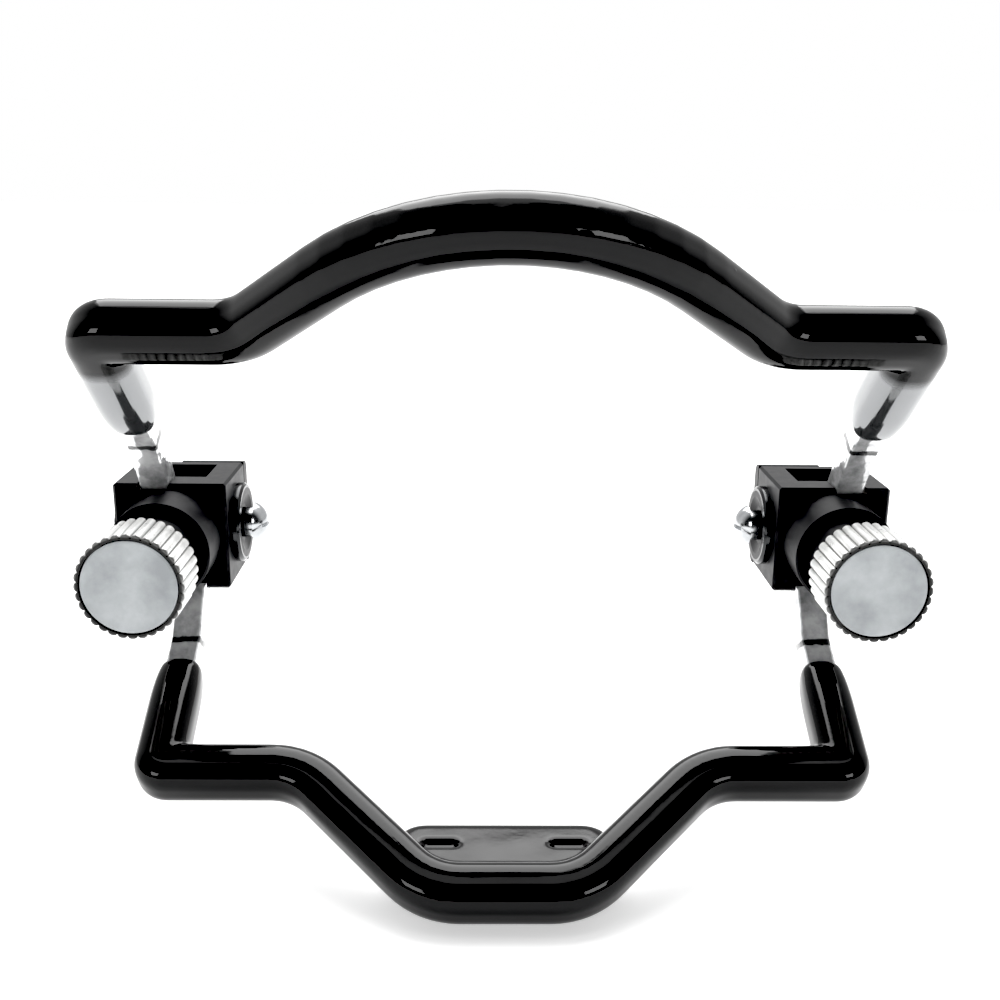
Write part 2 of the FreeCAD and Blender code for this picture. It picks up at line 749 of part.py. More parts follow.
def add_frame(name, arm_side, leg_lean, leg, outline, coating, plate_width, plate_rise, place):
    """One frame: two arms with gears, the bow, its bite plate and the coating.

    It is built as the upper frame, with its legs upwards, and place() puts it where it belongs.
    """
    arm_x = housing_x + arm_side * arm_offset
    coat, coat_corner = coating
    half_outline, half_radii = outline
    points = bow_points(arm_x, leg, half_outline)
    radii = all_radii(half_radii, half_outline[-1].x == 0)
    elbow = elbow_point()

    def stand(shape):
        """From the bow's plane to the object's frame."""
        shape.rotate(ORIGIN, X_AXIS, leg_lean)
        shape.translate(elbow)
        return shape

    def bar_along(start):
        """The bare bar, from that far past the elbows."""
        return swept_bar(trimmed(points, start), radii, Y_AXIS, bar_width, bar_thickness, bar_corner)

    bow = stand(bar_along(splice_distance))
    dowels = []
    for side in (-1, 1):
        splice = V(side * arm_x, 0, 0) + elbow + forward_up(leg_lean) * splice_distance
        half = forward_up(leg_lean) * dowel_length / 2
        dowels.append(rod(dowel_radius, splice - half, splice + half))
    bow = bow.cut(dowels)

    middle = elbow + forward_up(leg_lean) * bow_middle(name == "upper")
    top = middle.z - plate_rise
    front = middle.y + plate_overlap
    reach = plate_reach - plate_overlap
    tongue = plate_slab(plate_width, plate_thickness, reach, plate_corner, 0, top, front)
    dimple_y = middle.y + dimple_setback
    face_z = top - plate_thickness / 2 - plate_skin
    slots = [dimple(a * dimple_offset, dimple_y, top + plate_thickness, 2 * plate_thickness, 0)
             for a in (-1, 1)]
    tongue = main_solid(tongue.cut([bow] + slots))

    outer_path = swept_bar(trimmed(points, coat_start + nose_length), radii, Y_AXIS,
                           bar_width + 2 * coat, bar_thickness + 2 * coat, coat_corner)
    skin = outer_path.fuse([coat_nose(arm_x, coat, coat_corner), coat_nose(-arm_x, coat, coat_corner)])
    skin = stand(skin)
    slab = plate_slab(plate_width, plate_thickness, reach, plate_corner, plate_skin, top, front)
    edges = [e for e in slab.Edges if e.CenterOfMass.y > front + 0.5
             and abs(abs(e.CenterOfMass.z - top) - plate_thickness / 2 - plate_skin) < 0.01]
    slab = slab.makeFillet(plate_skin, edges)
    skin = skin.fuse(slab)
    pockets = [dimple(a * dimple_offset, dimple_y, face_z + dimple_depth, dimple_depth + past, dimple_round)
               for a in (-1, 1)]
    skin = skin.cut([stand(bar_along(0)), tongue] + pockets)

    nodes[name + "_bow"] = place(bow)
    nodes[name + "_bite_plate"] = place(tongue)
    nodes[name + "_coating"] = place(main_solid(skin))
    nodes[name + "_arm_dowels"] = place(Part.makeCompound(dowels))
    add_pair(name + "_arm", place(make_arm(arm_side, leg_lean)))
    add_pair(name + "_crown_gear", place(make_crown_gear(arm_side)))


# ---- the whole object --------------------------------------------------------------------------
def main():
    """Makes every piece and writes one STEP file each."""
    add_housing()
    add_knob()
    add_frame("upper", 1, upper_leg_lean, upper_leg, upper_outline(),
              (upper_coat, upper_coat_corner), upper_plate_width, upper_plate_rise, lambda shape: shape)
    add_frame("lower", -1, lower_leg_lean, lower_leg, lower_outline(),
              (lower_coat, lower_coat_corner), lower_plate_width, lower_plate_rise, upside_down)
    os.makedirs("parts", exist_ok=True)
    for name, shape in nodes.items():
        shape.exportStep(os.path.join("parts", name + ".step"))
        print(f"{name}: {len(shape.Solids)} solid(s), {shape.Volume:.2f} mm3, valid {shape.isValid()}")


main()
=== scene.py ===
"""The looks of an adjustable cheek retractor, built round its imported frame.

Two dip-coated bows ride on plated arms between two black side housings. A fluted knob on each
housing drives both arms. Sizes are in millimetres and are turned into metres by MM.
"""
import json
import logging
import math
from dataclasses import dataclass, field
from enum import Enum
from typing import Callable, Sequence

import bmesh
import bpy
from mathutils import Matrix, Vector

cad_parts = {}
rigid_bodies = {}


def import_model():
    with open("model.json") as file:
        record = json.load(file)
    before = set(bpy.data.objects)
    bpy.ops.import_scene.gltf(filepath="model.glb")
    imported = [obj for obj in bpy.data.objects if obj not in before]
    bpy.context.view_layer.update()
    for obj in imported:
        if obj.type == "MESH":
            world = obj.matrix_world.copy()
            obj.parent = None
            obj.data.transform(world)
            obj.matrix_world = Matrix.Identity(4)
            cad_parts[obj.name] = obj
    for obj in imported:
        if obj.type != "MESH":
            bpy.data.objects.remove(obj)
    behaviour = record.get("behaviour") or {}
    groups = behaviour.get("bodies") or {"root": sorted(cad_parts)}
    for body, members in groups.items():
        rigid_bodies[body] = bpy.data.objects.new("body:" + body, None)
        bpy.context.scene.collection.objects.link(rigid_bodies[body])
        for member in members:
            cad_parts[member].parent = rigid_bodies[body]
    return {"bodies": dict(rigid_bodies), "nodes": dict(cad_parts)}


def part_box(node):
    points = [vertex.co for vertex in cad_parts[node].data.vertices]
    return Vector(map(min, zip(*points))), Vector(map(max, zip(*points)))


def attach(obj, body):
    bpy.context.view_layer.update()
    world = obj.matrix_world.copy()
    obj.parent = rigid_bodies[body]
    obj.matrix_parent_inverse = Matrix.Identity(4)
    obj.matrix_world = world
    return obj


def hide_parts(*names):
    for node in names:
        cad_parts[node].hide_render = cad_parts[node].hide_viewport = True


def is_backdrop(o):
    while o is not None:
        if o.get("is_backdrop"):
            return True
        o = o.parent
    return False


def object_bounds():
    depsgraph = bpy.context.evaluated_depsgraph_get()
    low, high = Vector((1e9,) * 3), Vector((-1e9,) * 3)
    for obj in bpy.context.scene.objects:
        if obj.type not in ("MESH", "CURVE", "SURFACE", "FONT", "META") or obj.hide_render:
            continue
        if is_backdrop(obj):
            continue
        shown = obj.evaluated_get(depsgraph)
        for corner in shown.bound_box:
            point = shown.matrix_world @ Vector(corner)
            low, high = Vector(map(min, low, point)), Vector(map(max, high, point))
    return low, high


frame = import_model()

LOG = logging.getLogger("cheek_retractor")
MM = 0.001
QUARTER = math.pi / 2
HINGE = Vector((0.0, 0.0, 0.0))
NEAR = 0.01 * MM          # how far a picked part may be from the plane it is picked by
MID = 0.1 * MM            # and from the axis, for the middle of a round face


class Pick(Enum):
    """What a selection in edit mode is made of."""

    FACES = "FACE"
    EDGES = "EDGE"
    CORNERS = "VERT"


class Side(Enum):
    """The two ends of the hinge axis."""

    RIGHT = "right"
    LEFT = "left"

    @property
    def sign(self) -> int:
        """+1 on the +X side and -1 on the other."""
        return 1 if self is Side.RIGHT else -1

    def node(self, name: str) -> str:
        """The CAD node of that name on this side."""
        return f"{self.value}_{name}"


class Level(Enum):
    """The upper or the lower frame."""

    UPPER = "upper"
    LOWER = "lower"

    @property
    def sign(self) -> int:
        """+1 above the hinge axis and -1 below it."""
        return 1 if self is Level.UPPER else -1

    @property
    def body(self) -> str:
        """The moving body that this frame belongs to."""
        return f"{self.value}_frame"


# ---- working by hand ---------------------------------------------------------------------------
class Bench:
    """The few movements that every new piece is made with."""

    @staticmethod
    def clear() -> None:
        """Leaves no mesh open and nothing selected."""
        if bpy.context.object and bpy.context.object.mode != "OBJECT":
            bpy.ops.object.mode_set(mode="OBJECT")
        bpy.ops.object.select_all(action="DESELECT")

    @staticmethod
    def take(piece: bpy.types.Object) -> None:
        """Makes a piece the only selected one, and the active one."""
        Bench.clear()
        piece.select_set(True)
        bpy.context.view_layer.objects.active = piece

    @staticmethod
    def settle() -> bpy.types.Object:
        """Moves the active object's place, turn and size into its mesh.

        Returns:
            The active object.
        """
        bpy.ops.object.transform_apply(location=True, rotation=True, scale=True)
        return bpy.context.object

    @staticmethod
    def open() -> None:
        """Opens the active mesh in edit mode, with all of it selected."""
        bpy.ops.object.mode_set(mode="EDIT")
        bpy.ops.mesh.select_all(action="SELECT")

    @staticmethod
    def close() -> None:
        """Leaves edit mode with the normals pointing outwards."""
        bpy.ops.mesh.select_all(action="SELECT")
        bpy.ops.mesh.normals_make_consistent(inside=False)
        bpy.ops.object.mode_set(mode="OBJECT")

    @staticmethod
    def pick(kind: Pick, test: Callable[[Vector], bool]) -> None:
        """Selects the open mesh's parts whose middle passes a test.

        Args:
            kind: Faces, edges or corners.
            test: Says whether a part with that middle, in metres, is wanted.
        """
        bpy.ops.mesh.select_mode(type=kind.value)
        bpy.ops.mesh.select_all(action="DESELECT")
        data = bpy.context.object.data
        mesh = bmesh.from_edit_mesh(data)
        if kind is Pick.CORNERS:
            wanted = [corner for corner in mesh.verts if test(corner.co)]
        elif kind is Pick.EDGES:
            wanted = [edge for edge in mesh.edges if test((edge.verts[0].co + edge.verts[1].co) / 2)]
        else:
            wanted = [face for face in mesh.faces if test(face.calc_center_median())]
        for part in wanted:
            part.select_set(True)
        mesh.select_flush_mode()
        bmesh.update_edit_mesh(data)

    @staticmethod
    def push(step: Vector, swell: tuple[float, float, float] = (1.0, 1.0, 1.0),
             about: Vector = HINGE) -> None:
        """Extrudes the selection by a step and then swells it about a point."""
        bpy.ops.mesh.extrude_region_move(TRANSFORM_OT_translate={"value": step})
        if swell != (1.0, 1.0, 1.0):
            bpy.ops.transform.resize(value=swell, center_override=about)

    @staticmethod
    def finish(piece: bpy.types.Object, kind: str, **settings) -> None:
        """Adds a modifier with these settings and applies it."""
        Bench.take(piece)
        modifier = piece.modifiers.new(kind.lower(), kind)
        for setting, value in settings.items():
            setattr(modifier, setting, value)
        bpy.ops.object.modifier_apply(modifier=modifier.name)

    @staticmethod
    def smooth(piece: bpy.types.Object, angle: float = 180.0) -> None:
        """Shades a piece smooth across edges flatter than that many degrees."""
        Bench.take(piece)
        if angle >= 180.0:
            bpy.ops.object.shade_smooth()
        else:
            bpy.ops.object.shade_smooth_by_angle(angle=math.radians(angle))

    @staticmethod
    def join(pieces: Sequence[bpy.types.Object]) -> bpy.types.Object:
        """Joins pieces into the first of them and returns it."""
        Bench.clear()
        for piece in pieces:
            piece.select_set(True)
        bpy.context.view_layer.objects.active = pieces[0]
        bpy.ops.object.join()
        return bpy.context.object


# ---- finishes ----------------------------------------------------------------------------------
class Recipe:
    """A material's node tree while it is wired up."""

    def __init__(self, name: str) -> None:
        """Starts a material with one principled shader on Object coordinates."""
        self.material = bpy.data.materials.new(name)
        self.material.use_nodes = True
        self.nodes = self.material.node_tree.nodes
        self.links = self.material.node_tree.links
        self.shader = next(node for node in self.nodes if node.type == "BSDF_PRINCIPLED")
        self.place = self.nodes.new("ShaderNodeTexCoord").outputs["Object"]

    def fixed(self, **values: float | tuple[float, ...]) -> None:
        """Sets constants on the shader's own sockets, named with underscores for spaces."""
        for name, value in values.items():
            self.shader.inputs[name.replace("_", " ")].default_value = value

    def link(self, source: bpy.types.NodeSocket, socket: str) -> None:
        """Feeds one of the shader's sockets."""
        self.links.new(source, self.shader.inputs[socket])

    def stretched(self, stretch: Sequence[float]) -> bpy.types.NodeSocket:
        """The place, stretched along each axis."""
        node = self.nodes.new("ShaderNodeMapping")
        node.vector_type = "POINT"
        node.inputs["Scale"].default_value = stretch
        self.links.new(self.place, node.inputs["Vector"])
        return node.outputs["Vector"]

    def noise(self, size: float, detail: float = 3.0, roughness: float = 0.5,
              place: bpy.types.NodeSocket | None = None) -> bpy.types.NodeSocket:
        """Cloudy noise.

        Args:
            size: The size of its largest features, in millimetres.
            detail: How many finer layers it has.
            roughness: How strong those layers are.
            place: The coordinates, or the plain object coordinates.

        Returns:
            The noise's value from 0 to 1.
        """
        node = self.nodes.new("ShaderNodeTexNoise")
        node.inputs["Scale"].default_value = 1 / (size * MM)
        node.inputs["Detail"].default_value = detail
        node.inputs["Roughness"].default_value = roughness
        self.links.new(place or self.place, node.inputs["Vector"])
        return node.outputs["Fac"]

    def spread(self, value: bpy.types.NodeSocket, source: tuple[float, float],
               target: tuple[float, float]) -> bpy.types.NodeSocket:
        """Maps one range of a value to another, clamped."""
        node = self.nodes.new("ShaderNodeMapRange")
        node.inputs["From Min"].default_value, node.inputs["From Max"].default_value = source
        node.inputs["To Min"].default_value, node.inputs["To Max"].default_value = target
        self.links.new(value, node.inputs["Value"])
        return node.outputs["Result"]

    def shades(self, value: bpy.types.NodeSocket,
               stops: Sequence[tuple[float, tuple[float, float, float]]]) -> bpy.types.NodeSocket:
        """A colour that follows a value through (position, colour) stops."""
        node = self.nodes.new("ShaderNodeValToRGB")
        ramp = node.color_ramp
        while len(ramp.elements) < len(stops):
            ramp.elements.new(0.5)
        for element, (position, colour) in zip(ramp.elements, stops):
            element.position = position
            element.color = (*colour, 1.0)
        self.links.new(value, node.inputs["Fac"])
        return node.outputs["Color"]

    def tinted(self, colour: bpy.types.NodeSocket, value: bpy.types.NodeSocket) -> bpy.types.NodeSocket:
        """A colour made darker by a value from 0 to 1."""
        node = self.nodes.new("ShaderNodeVectorMath")
        node.operation = "SCALE"
        self.links.new(colour, node.inputs["Vector"])
        self.links.new(value, node.inputs["Scale"])
        return node.outputs["Vector"]

    def combine(self, operation: str, first: bpy.types.NodeSocket,
                second: bpy.types.NodeSocket | float) -> bpy.types.NodeSocket:
        """A math node on two values."""
        node = self.nodes.new("ShaderNodeMath")
        node.operation = operation
        self.links.new(first, node.inputs[0])
        if isinstance(second, (int, float)):
            node.inputs[1].default_value = second
        else:
            self.links.new(second, node.inputs[1])
        return node.outputs["Value"]

    def pits(self, spacing: float, radius: float, share: float) -> bpy.types.NodeSocket:
        """Sparse round specks: 1 in a speck's middle and 0 outside it.

        Args:
            spacing: Distance between possible specks, in millimetres.
            radius: Radius of a speck, in millimetres.
            share: The share of places that have one.

        Returns:
            The speck height.
        """
        node = self.nodes.new("ShaderNodeTexVoronoi")
        node.inputs["Scale"].default_value = 1 / (spacing * MM)
        self.links.new(self.place, node.inputs["Vector"])
        dome = self.spread(node.outputs["Distance"], (0.0, radius / spacing), (1.0, 0.0))
        split = self.nodes.new("ShaderNodeSeparateColor")
        self.links.new(node.outputs["Color"], split.inputs["Color"])
        chosen = self.combine("GREATER_THAN", split.outputs["Red"], 1.0 - share)
        return self.combine("MULTIPLY", dome, chosen)

    def split(self) -> bpy.types.NodeSocket:
        """The place as three separate values."""
        node = self.nodes.new("ShaderNodeSeparateXYZ")
        self.links.new(self.place, node.inputs["Vector"])
        return node.outputs

    def from_axis(self, centre: Sequence[float]) -> bpy.types.NodeSocket:
        """Distance from the line along Y through a point, the same on both sides of X = 0.

        Args:
            centre: A point on the axis on the +X side, in metres.

        Returns:
            The distance in metres.
        """
        split = self.split()
        across = self.combine("SUBTRACT", self.combine("ABSOLUTE", split["X"], 0.0), centre[0])
        up = self.combine("SUBTRACT", split["Z"], centre[2])
        square = self.combine("ADD", self.combine("MULTIPLY", across, across),
                              self.combine("MULTIPLY", up, up))
        return self.combine("POWER", square, 0.5)

    def from_hinge(self) -> bpy.types.NodeSocket:
        """Distance from the hinge axis in metres."""
        split = self.split()
        square = self.combine("ADD", self.combine("MULTIPLY", split["Y"], split["Y"]),
                              self.combine("MULTIPLY", split["Z"], split["Z"]))
        return self.combine("POWER", square, 0.5)

    def rings(self, centre: Sequence[float], pitch: float) -> bpy.types.NodeSocket:
        """Turning marks round the same line, every so many millimetres, as a height from 0 to 1."""
        turns = self.combine("MULTIPLY", self.from_axis(centre), 2 * math.pi / (pitch * MM))
        return self.spread(self.combine("SINE", turns, 0.0), (-1.0, 1.0), (0.0, 1.0))

    def relief(self, height: bpy.types.NodeSocket, depth: float,
               under: bpy.types.NodeSocket | None = None) -> bpy.types.NodeSocket:
        """Bump from a height.

        Args:
            height: The height from 0 to 1.
            depth: What a height of 1 stands for, in millimetres.
            under: The normal of a bump below this one.

        Returns:
            The bumped normal.
        """
        node = self.nodes.new("ShaderNodeBump")
        node.inputs["Distance"].default_value = depth * MM
        node.inputs["Strength"].default_value = 1.0
        self.links.new(height, node.inputs["Height"])
        if under:
            self.links.new(under, node.inputs["Normal"])
        return node.outputs["Normal"]


@dataclass(frozen=True)
class DipCoating:
    """Thick glossy plastic, dipped on, with a slow wave and a few trapped bubbles.

    It is black on the bows; the legs of the upper bow are painted pale grey and made metallic, a painted
    reflection of the bright room.
    """

    name: str = "dip_coating"
    colour: tuple[float, float, float] = (0.003, 0.003, 0.0033)
    wave: float = 9.0
    wave_depth: float = 0.07
    peel: float = 1.3
    peel_depth: float = 0.004
    bubble_spacing: float = 4.2
    bubble_radius: float = 0.32
    bubble_share: float = 0.10
    bubble_depth: float = 0.10
    leg_way: tuple[float, float] = (-0.729, 0.684)
    leg_end: float = 38.2
    leg_fade: tuple[float, float] = (1.6, 0.4)
    leg_floor: float = 8.0
    # the metallic look and the pale grey colour below are a painted reflection on the upper bow's legs
    leg_reflection_metallic: float = 0.85
    leg_painted_reflection: tuple[float, float, float] = (0.24, 0.245, 0.25)

    def painted_reflection_on_legs(self, recipe: Recipe) -> bpy.types.NodeSocket:
        """1 on the legs of the upper bow, where the pale painted reflection goes, and 0 on the bows."""
        split = recipe.split()
        along = recipe.combine("ADD", recipe.combine("MULTIPLY", split["Y"], self.leg_way[0]),
                               recipe.combine("MULTIPLY", split["Z"], self.leg_way[1]))
        before, past = self.leg_fade
        before_bow = recipe.spread(along, ((self.leg_end - before) * MM, (self.leg_end + past) * MM),
                                   (1.0, 0.0))
        above = recipe.combine("GREATER_THAN", split["Z"], self.leg_floor * MM)
        return recipe.combine("MULTIPLY", before_bow, above)

    def make(self) -> bpy.types.Material:
        """Wires up the material and returns it."""
        recipe = Recipe(self.name)
        recipe.fixed(IOR=1.45, Specular_IOR_Level=0.4)
        legs = self.painted_reflection_on_legs(recipe)
        # painted reflection: the upper bow's legs are turned pale grey and metallic
        recipe.link(recipe.spread(legs, (0.0, 1.0), (0.0, self.leg_reflection_metallic)), "Metallic")
        recipe.link(recipe.shades(legs, [(0.0, self.colour), (1.0, self.leg_painted_reflection)]), "Base Color")
        recipe.link(recipe.spread(recipe.noise(6.0, 4.0), (0.3, 0.7), (0.05, 0.11)), "Roughness")
        slow = recipe.relief(recipe.noise(self.wave, 1.0), self.wave_depth)
        peel = recipe.relief(recipe.noise(self.peel, 2.0), self.peel_depth, under=slow)
        bubbles = recipe.relief(
            recipe.pits(self.bubble_spacing, self.bubble_radius, self.bubble_share),
            self.bubble_depth, under=peel)
        recipe.link(bubbles, "Normal")
        return recipe.material


@dataclass(frozen=True)
class PlatedMetal:
    """Bright plating over metal, wavy where the metal under it was forged or cast."""

    name: str
    colour: tuple[float, float, float] = (0.86, 0.87, 0.88)
    stain_and_reflection: tuple[float, float, float] = (0.70, 0.71, 0.72)
    sheen: tuple[float, float] = (0.10, 0.22)
    wave: float = 2.4
    wave_depth: float = 0.06
    metal: float = 1.0
    painted_shade_band: tuple[float, float, float] | None = None
    band_edge: float = 0.15
    band_wander: float = 0.9

    def make(self) -> bpy.types.Material:
        """Wires up the material and returns it."""
        recipe = Recipe(self.name)
        recipe.fixed(Metallic=self.metal)
        # the second colour is a mild stain on most plated parts; on the arms it is near black, a painted
        # reflection of dark surroundings in blotches
        shade = recipe.shades(recipe.noise(3.0, 5.0, 0.6), [(0.35, self.colour), (0.8, self.stain_and_reflection)])
        # painted shade: the colour is darkened in a band of distance from the hinge axis
        if self.painted_shade_band:
            shade = recipe.tinted(shade, self.band(recipe))
        recipe.link(shade, "Base Color")
        recipe.link(recipe.spread(recipe.noise(1.2, 5.0, 0.6), (0.3, 0.75), self.sheen), "Roughness")
        slow = recipe.relief(recipe.noise(self.wave, 1.0), self.wave_depth)
        recipe.link(recipe.relief(recipe.noise(0.25, 3.0), 0.0015, under=slow), "Normal")
        return recipe.material

    def band(self, recipe: Recipe) -> bpy.types.NodeSocket:
        """A value that drops between two distances from the hinge axis, with an uneven edge: painted
        shade, multiplied into the base colour.
        """
        start, end, shade = self.painted_shade_band
        uneven = recipe.combine("MULTIPLY", recipe.noise(1.6, 3.0), self.band_wander * MM)
        radius = recipe.combine("ADD", recipe.from_hinge(), uneven)
        first = recipe.spread(radius, ((start - self.band_edge) * MM, start * MM), (1.0, shade))
        last = recipe.spread(radius, (end * MM, (end + self.band_edge) * MM), (shade, 1.0))
        return recipe.combine("MAXIMUM", first, last)


@dataclass(frozen=True)
class BlackAnodised:
    """Satin black anodised aluminium with faint milling marks and rubbed patches."""

    name: str = "black_anodised"
    colour: tuple[float, float, float] = (0.018, 0.018, 0.019)
    rubbed: tuple[float, float, float] = (0.030, 0.030, 0.032)

    def make(self) -> bpy.types.Material:
        """Wires up the material and returns it."""
        recipe = Recipe(self.name)
        recipe.fixed(Metallic=0.0, IOR=1.4, Specular_IOR_Level=0.16)
        patches = recipe.noise(2.2, 6.0, 0.62)
        recipe.link(recipe.shades(patches, [(0.45, self.colour), (0.78, self.rubbed)]), "Base Color")
        recipe.link(recipe.spread(patches, (0.3, 0.8), (0.30, 0.46)), "Roughness")
        marks = recipe.noise(0.5, 3.0, place=recipe.stretched((1.0, 1.0, 9.0)))
        recipe.link(recipe.relief(marks, 0.002), "Normal")
        return recipe.material


@dataclass(frozen=True)
class TurnedMetal:
    """Bare bright metal off the lathe, with ring marks round the knob's axis."""

    name: str
    axis: tuple[float, float, float]
    colour: tuple[float, float, float] = (0.84, 0.84, 0.83)
    dull: tuple[float, float, float] = (0.66, 0.66, 0.65)
    sheen: tuple[float, float] = (0.14, 0.28)
    metal: float = 1.0
    pitch: float = 0.16
    pitch_depth: float = 0.002
    blotch: float = 3.2
    groove: tuple[float, float] | None = None
    groove_painted_shade: float = 0.12
    front: float = 0.0
    front_edge: tuple[float, float] = (0.15, 0.4)
    front_painted_shade: float = 0.22

    def make(self) -> bpy.types.Material:
        """Wires up the material and returns it."""
        recipe = Recipe(self.name)
        recipe.fixed(Metallic=self.metal)
        blotch = recipe.noise(self.blotch, 6.0, 0.6)
        shade = recipe.shades(blotch, [(0.32, self.colour), (0.7, self.dull)])
        # painted shade: the colour is darkened in the valleys between the ribs and along the knob's front
        # edge
        if self.groove:
            low, high = self.groove
            light = recipe.spread(recipe.from_axis(self.axis), (low * MM, high * MM),
                                  (self.groove_painted_shade, 1.0))
            near, far = self.front_edge
            edge = recipe.spread(recipe.split()["Y"], (self.front + near * MM, self.front + far * MM),
                                 (self.front_painted_shade, 1.0))
            shade = recipe.tinted(shade, recipe.combine("MULTIPLY", light, edge))
        recipe.link(shade, "Base Color")
        recipe.link(recipe.spread(recipe.noise(1.1, 5.0, 0.65), (0.3, 0.75), self.sheen), "Roughness")
        marks = recipe.relief(recipe.rings(self.axis, self.pitch), self.pitch_depth)
        recipe.link(recipe.relief(recipe.noise(0.35, 4.0), 0.003, under=marks), "Normal")
        return recipe.material


@dataclass(frozen=True)
class PaleFloor:
    """A matt pale sweep with a hardly visible grain."""

    name: str = "pale_floor"

    def make(self) -> bpy.types.Material:
        """Wires up the material and returns it."""
        recipe = Recipe(self.name)
        recipe.fixed(Roughness=0.9, Emission_Color=(1.0, 1.0, 1.0, 1.0), Emission_Strength=0.45)
        grain = recipe.noise(60.0, 3.0)
        recipe.link(recipe.shades(grain, [(0.3, (0.90, 0.90, 0.90)), (0.7, (0.93, 0.93, 0.93))]),
                    "Base Color")
        return recipe.material


@dataclass
class Palette:
    """Every finish of the object, made once."""

    knob_axis: tuple[float, float, float]
    knob_front: float
    made: dict[str, bpy.types.Material] = field(default_factory=dict)

    def make(self) -> None:
        """Makes each finish under the name of its material slot."""
        finishes = {
            "black_coating": DipCoating(),
            "core_steel": PlatedMetal("core_steel", (0.55, 0.55, 0.54), (0.42, 0.41, 0.40), (0.2, 0.4)),
            # the arms' near-black second colour is a painted reflection
            "chrome_bar": PlatedMetal("chrome_bar", (0.92, 0.925, 0.93), (0.20, 0.205, 0.21), (0.05, 0.12),
                                      # the last group is a band of painted shade at the arm's fold
                                      1.7, 0.11, 0.55, (18.6, 19.4, 0.16)),
            # the band here is painted shade round the rim of the disc
            "chrome_hardware": PlatedMetal("chrome_hardware", (0.52, 0.53, 0.54), (0.34, 0.35, 0.36),
                                           (0.10, 0.22), wave_depth=0.012, painted_shade_band=(4.9, 7.0, 0.12)),
            "gear_steel": PlatedMetal("gear_steel", (0.62, 0.61, 0.60), (0.48, 0.47, 0.45), (0.22, 0.4)),
            "black_anodised": BlackAnodised(),
            # the groove and front settings below add painted shade to the flute valleys and the front edge
            "bright_knob": TurnedMetal("bright_knob", self.knob_axis, sheen=(0.26, 0.38), metal=0.45,
                                       pitch_depth=0.0003, groove=(6.62, 6.86), front=self.knob_front),
            "satin_face": TurnedMetal("satin_face", self.knob_axis, (0.42, 0.44, 0.45),
                                      (0.27, 0.285, 0.295), (0.36, 0.5), 0.35, 0.22, 0.0015, 5.0),
            "dark_screw": PlatedMetal("dark_screw", (0.06, 0.06, 0.065), (0.03, 0.03, 0.03), (0.25, 0.4)),
            "bronze": PlatedMetal("bronze", (0.60, 0.42, 0.22), (0.42, 0.28, 0.14), (0.25, 0.42)),
        }
        for slot, finish in finishes.items():
            self.made[slot] = finish.make()

    def dress(self, piece: bpy.types.Object, slot: str) -> None:
        """Gives a piece the finish of a material slot and nothing else."""
        piece.data.materials.clear()
        piece.data.materials.append(self.made[slot])

    def dress_node(self, name: str) -> None:
        """Gives a CAD node the finish of the slot that it was packed with."""
        node = frame["nodes"][name]
        slot = node.material_slots[0].material.name.split(".")[0]
        for holder in node.material_slots:
            holder.material = self.made[slot]


# ---- bows --------------------------------------------------------------------------------------
@dataclass
class BarPen:
    """Pushes the selected face of the open mesh along a path in the X-Z plane."""

    at: Vector
    heading: float = 0.0

    @property
    def forward(self) -> Vector:
        """The way it is going: up at a heading of zero, towards -X at a quarter turn."""
        return Vector((-math.sin(self.heading), 0.0, math.cos(self.heading)))

    @property
    def left(self) -> Vector:
        """The side that a positive bend turns to."""
        return Vector((-math.cos(self.heading), 0.0, -math.sin(self.heading)))

    def run(self, length: float, swell: float = 1.0) -> None:
        """Goes straight on, then swells the section by a ratio."""
        self.at = self.at + self.forward * length
        across = abs(math.cos(self.heading))
        wide = 1.0 + (swell - 1.0) * across
        high = 1.0 + (swell - 1.0) * (1.0 - across)
        Bench.push(self.forward * length, (wide, swell, high), self.at)

    def bend(self, turn: float, radius: float, steps: int = 0) -> None:
        """Turns by an angle, positive to the left, on a radius, in that many steps."""
        way = math.copysign(1.0, turn)
        centre = self.at + self.left * (way * radius)
        steps = steps or max(3, math.ceil(abs(math.degrees(turn)) / 6.0))
        bpy.ops.mesh.spin(steps=steps, angle=turn, center=centre, axis=(0.0, 1.0, 0.0))
        self.heading += turn
        self.at = centre - self.left * (way * radius)

    def follow(self, corners: Sequence[tuple[Vector, float]], end: Vector) -> None:
        """Runs through (corner, bend radius) points and stops at the end point."""
        goals = [corner for corner, _ in corners] + [end]
        for (corner, radius), goal in zip(corners, goals[1:]):
            onward = (goal - corner).normalized()
            turn = math.atan2(self.left.dot(onward), self.forward.dot(onward))
            self.run((corner - self.at).length - radius * math.tan(abs(turn) / 2))
            self.bend(turn, radius)
        self.run((end - self.at).length)


